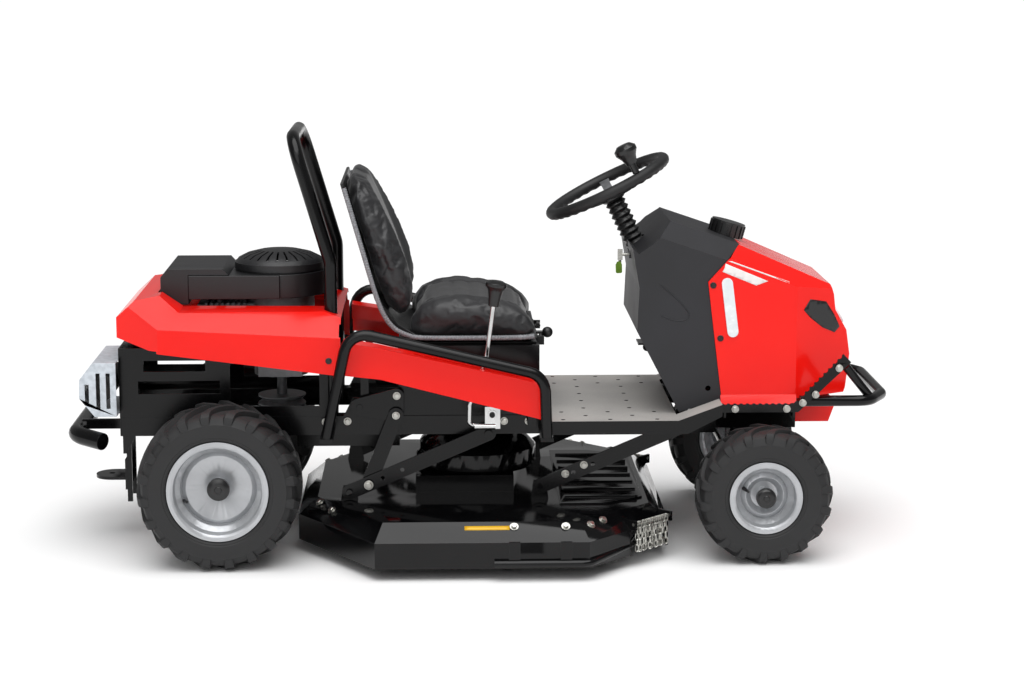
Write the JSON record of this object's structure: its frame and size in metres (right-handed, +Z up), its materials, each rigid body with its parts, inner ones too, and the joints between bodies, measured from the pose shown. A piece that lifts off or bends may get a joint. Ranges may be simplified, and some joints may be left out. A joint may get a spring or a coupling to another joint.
{
  "type": "riding lawn mower",
  "caption": "Ride-on rough-cut mower with rear engine, belly deck on lift arms, roll bar, sliding seat and front wheel steering.",
  "frame": {"origin": "on the ground under the middle of the machine's length and width", "axes": "+X points forward, +Y to the machine's left, +Z up"},
  "size_m": [2.0925, 1.064, 1.0629],
  "materials": {
    "black_powder_coat": "semi-gloss powder coat",
    "cast_alloy": "bead-blasted cast alloy",
    "zinc_steel": "bright zinc plate",
    "blower_plastic": "moulded nylon, fine grain",
    "black_plastic": "moulded, satin",
    "heat_guard": "galvanised sheet",
    "muffler_steel": "heat-proof black",
    "red_paint": "high-gloss enamel",
    "floor_coat": "semi-gloss powder coat",
    "seat_vinyl": "grained vinyl, low sheen",
    "cowl_plastic": "moulded polypropylene, fine grain",
    "lens_plastic": "clear moulded lens over white",
    "tank_plastic": "natural polyethylene",
    "tyre_rubber": "moulded rubber",
    "rim_paint": "silver enamel",
    "blade_steel": "hardened spring steel",
    "chain_zinc": "zinc plate",
    "grip_foam": "moulded soft grip"
  },
  "bodies": {
    "chassis": {"main_frame": "black_powder_coat", "rear_plates": "black_powder_coat", "seat_box": "black_powder_coat", "front_subframe": "black_powder_coat", "frame_brackets": "black_powder_coat", "transaxle": "cast_alloy", "engine_block": "cast_alloy", "muffler": "muffler_steel", "engine_shroud": "blower_plastic", "fan_cover": "blower_plastic", "heat_shield": "heat_guard", "rear_bumper": "black_powder_coat", "engine_hood": "red_paint", "side_panels": "red_paint", "guard_rails": "black_powder_coat", "floorboard": "floor_coat", "roll_bar": "black_powder_coat", "front_cowl": "cowl_plastic", "front_hood": "red_paint", "lamps": "lens_plastic", "step_plates": "red_paint", "step_guards": "black_powder_coat", "front_bumper": "black_powder_coat", "fuel_tank": "tank_plastic", "steering_boot": "black_plastic"},
    "crankshaft": {"crank_pulley": "zinc_steel"},
    "seat_tilt_plate": {"seat_base": "black_powder_coat"},
    "seat": {"seat_pan": "black_plastic", "seat_cushion": "seat_vinyl", "seat_backrest": "seat_vinyl"},
    "seat_latch": {"seat_knob": "black_plastic"},
    "fuel_cap": {"fuel_cap": "black_plastic"},
    "ignition_key": {"ignition_key": "zinc_steel"},
    "steering": {"steering_wheel": "grip_foam", "steering_shaft": "black_plastic"},
    "spinner": {"spinner_knob": "black_plastic"},
    "front_axle": {"front_axle_beam": "black_powder_coat"},
    "knuckle_right": {"spindle_right": "black_powder_coat"},
    "knuckle_left": {"spindle_left": "black_powder_coat"},
    "tie_rod": {"tie_rod": "zinc_steel"},
    "front_wheel_right": {"front_tyre_right": "tyre_rubber", "front_rim_right": "rim_paint"},
    "front_wheel_left": {"front_tyre_left": "tyre_rubber", "front_rim_left": "rim_paint"},
    "rear_wheel_right": {"rear_tyre_right": "tyre_rubber", "rear_rim_right": "rim_paint"},
    "rear_wheel_left": {"rear_tyre_left": "tyre_rubber", "rear_rim_left": "rim_paint"},
    "front_arms": {"front_lift_arms": "black_powder_coat"},
    "deck": {"deck_shell": "black_powder_coat", "deck_covers": "black_powder_coat"},
    "blade_rotor": {"blade_rotor": "blade_steel"},
    "rear_arms": {"rear_lift_arms": "black_powder_coat"},
    "cranks": {"bell_cranks": "black_powder_coat"},
    "straps": {"lift_straps": "black_powder_coat"},
    "lever": {"lift_lever": "zinc_steel", "lever_knob": "black_plastic"},
    "brake_pedal": {"brake_pedal": "black_powder_coat"},
    "chains_right": {"chain_curtain_right": "chain_zinc"},
    "chains_left": {"chain_curtain_left": "chain_zinc"}
  },
  "joints": [
    {"name": "crank_spin", "type": "hinge", "parent": "chassis", "child": "crankshaft", "pos_m": [-0.512, 0, 0.5], "axis": [0, 0, 1], "continuous": true},
    {"name": "seat_tilt", "type": "hinge", "parent": "chassis", "child": "seat_tilt_plate", "pos_m": [0.16, 0, 0.527], "axis": [0, 1, 0], "range_deg": [0, 40]},
    {"name": "seat_slide", "type": "slide", "parent": "seat_tilt_plate", "child": "seat", "axis": [1, 0, 0], "range_m": [0, 0.07]},
    {"name": "latch_turn", "type": "hinge", "parent": "seat", "child": "seat_latch", "pos_m": [0.15, -0.06, 0.5332], "axis": [1, 0, 0], "range_deg": [-25, 25]},
    {"name": "cap_turn", "type": "hinge", "parent": "chassis", "child": "fuel_cap", "pos_m": [0.641, 0, 0.774], "axis": [0.2588, 0, 0.9659], "range_deg": [0, 120]},
    {"name": "key_turn", "type": "hinge", "parent": "chassis", "child": "ignition_key", "pos_m": [0.38, -0.062, 0.735], "axis": [-1, 0, 0], "range_deg": [0, 90]},
    {"name": "steer", "type": "hinge", "parent": "chassis", "child": "steering", "pos_m": [0.335, 0, 0.905], "axis": [-0.4431, 0, 0.8965], "range_deg": [-150, 150]},
    {"name": "spinner_turn", "type": "hinge", "parent": "steering", "child": "spinner", "pos_m": [0.39772, -0.13994, 0.95317], "axis": [-0.4431, 0, 0.8965], "continuous": true},
    {"name": "axle_rock", "type": "hinge", "parent": "chassis", "child": "front_axle", "pos_m": [0.706, 0, 0.22], "axis": [1, 0, 0], "range_deg": [-2.5, 2.5]},
    {"name": "kingpin_right", "type": "hinge", "parent": "front_axle", "child": "knuckle_right", "pos_m": [0.706, -0.25, 0.22], "axis": [0, 0, 1], "range_deg": [-25.1, 25.1]},
    {"name": "kingpin_left", "type": "hinge", "parent": "front_axle", "child": "knuckle_left", "pos_m": [0.706, 0.25, 0.22], "axis": [0, 0, 1], "range_deg": [-25.1, 25.1]},
    {"name": "tie_rod_turn", "type": "hinge", "parent": "knuckle_left", "child": "tie_rod", "pos_m": [0.616, 0.25, 0.262], "axis": [0, 0, 1], "range_deg": [-25.1, 25.1]},
    {"name": "front_right_spin", "type": "hinge", "parent": "knuckle_right", "child": "front_wheel_right", "pos_m": [0.706, -0.34, 0.171], "axis": [0, 1, 0], "continuous": true},
    {"name": "front_left_spin", "type": "hinge", "parent": "knuckle_left", "child": "front_wheel_left", "pos_m": [0.706, 0.34, 0.171], "axis": [0, 1, 0], "continuous": true},
    {"name": "rear_right_spin", "type": "hinge", "parent": "chassis", "child": "rear_wheel_right", "pos_m": [-0.645, -0.34, 0.203], "axis": [0, 1, 0], "continuous": true},
    {"name": "rear_left_spin", "type": "hinge", "parent": "chassis", "child": "rear_wheel_left", "pos_m": [-0.645, 0.34, 0.203], "axis": [0, 1, 0], "continuous": true},
    {"name": "deck_lift", "type": "hinge", "parent": "chassis", "child": "front_arms", "pos_m": [0.504, 0, 0.318], "axis": [0, 1, 0], "range_deg": [0, 10.5]},
    {"name": "deck_level", "type": "hinge", "parent": "front_arms", "child": "deck", "pos_m": [0.152, 0, 0.168], "axis": [0, 1, 0], "range_deg": [-10.6, 0]},
    {"name": "blade_spin", "type": "hinge", "parent": "deck", "child": "blade_rotor", "pos_m": [-0.008, 0, 0.076], "axis": [0, 0, 1], "continuous": true},
    {"name": "rear_arm_turn", "type": "hinge", "parent": "chassis", "child": "rear_arms", "pos_m": [0.022, 0, 0.306], "axis": [0, 1, 0], "range_deg": [0, 10.6]},
    {"name": "crank_turn", "type": "hinge", "parent": "chassis", "child": "cranks", "pos_m": [-0.303, 0, 0.371], "axis": [0, -1, 0], "range_deg": [0, 31.6]},
    {"name": "strap_turn", "type": "hinge", "parent": "cranks", "child": "straps", "pos_m": [-0.211, 0, 0.352], "axis": [0, 1, 0], "range_deg": [0, 36.6]},
    {"name": "lever_swing", "type": "hinge", "parent": "chassis", "child": "lever", "pos_m": [0.03, -0.296, 0.366], "axis": [0, -1, 0], "range_deg": [0, 40.2]},
    {"name": "brake_press", "type": "hinge", "parent": "chassis", "child": "brake_pedal", "pos_m": [0.56, 0.235, 0.446], "axis": [0, -1, 0], "range_deg": [0, 12], "stiffness_Nm_per_rad": 20, "springref_deg": -5.73},
    {"name": "chain_swing_right", "type": "hinge", "parent": "deck", "child": "chains_right", "pos_m": [0.37513, -0.4146, 0.111], "axis": [0.7071, 0.7071, 0], "range_deg": [-20, 0]},
    {"name": "chain_swing_left", "type": "hinge", "parent": "deck", "child": "chains_left", "pos_m": [0.37513, 0.4146, 0.111], "axis": [0.7071, -0.7071, 0], "range_deg": [0, 20]}
  ],
  "couplings": [
    {"joint": "kingpin_right", "follows": "steer", "ratio": 0.16667},
    {"joint": "kingpin_left", "follows": "steer", "ratio": 0.16667},
    {"joint": "tie_rod_turn", "follows": "steer", "ratio": -0.16667},
    {"joint": "deck_level", "follows": "deck_lift", "ratio": -1},
    {"joint": "rear_arm_turn", "follows": "deck_lift", "ratio": 1},
    {"joint": "crank_turn", "follows": "deck_lift", "ratio": 2.99},
    {"joint": "strap_turn", "follows": "deck_lift", "ratio": 3.467},
    {"joint": "lever_swing", "follows": "deck_lift", "ratio": 3.81}
  ]
}
